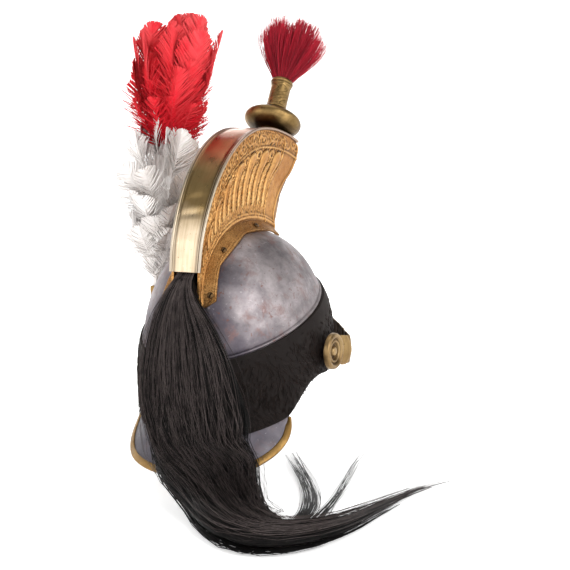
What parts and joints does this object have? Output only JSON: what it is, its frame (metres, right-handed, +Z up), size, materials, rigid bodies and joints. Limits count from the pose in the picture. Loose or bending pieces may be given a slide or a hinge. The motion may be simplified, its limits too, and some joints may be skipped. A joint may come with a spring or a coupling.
{
  "type": "cuirassier helmet",
  "caption": "Cuirassier helmet: steel skull with fur turban, embossed brass crest with tufted finial, black horsehair mane, brass chin scales, red and white feather plume; worn on the head.",
  "frame": {"origin": "middle of the head opening at ear height", "axes": "+Z up, -Y towards the front of the helmet, +X towards the wearer's left"},
  "size_m": [0.3826, 0.407, 0.501],
  "materials": {
    "steel": "worn, tarnished sheet steel",
    "fur": "short worn dark fur",
    "embossed_brass": "embossed gilt brass with dark hollows",
    "smooth_brass": "smooth polished brass",
    "dark_bronze": "dark patina with worn edges",
    "hair": "long black horsehair",
    "crimson_hair": "clipped crimson bristle",
    "red_feather": "dyed soft feather",
    "white_feather": "soft white feather"
  },
  "bodies": {
    "root": {"skull": "steel", "turban": "fur", "neck_guard": "steel", "neck_guard_trim": "smooth_brass", "visor": "steel", "visor_trim": "smooth_brass", "crest_side_left": "embossed_brass", "crest_side_right": "embossed_brass", "crest_band": "smooth_brass", "crest_front": "smooth_brass", "crest_screw_left_1": "dark_bronze", "crest_screw_left_2": "dark_bronze", "crest_screw_left_3": "dark_bronze", "crest_screw_right_1": "dark_bronze", "crest_screw_right_2": "dark_bronze", "crest_screw_right_3": "dark_bronze", "finial_knob": "dark_bronze", "finial_tube": "dark_bronze", "finial_tuft": "crimson_hair", "boss_left": "smooth_brass", "boss_right": "smooth_brass", "chin_scales_left": "smooth_brass", "chin_scales_right": "smooth_brass", "mane": "hair", "plume_socket": "smooth_brass", "plume_white": "white_feather", "plume_red": "red_feather"}
  },
  "joints": []
}
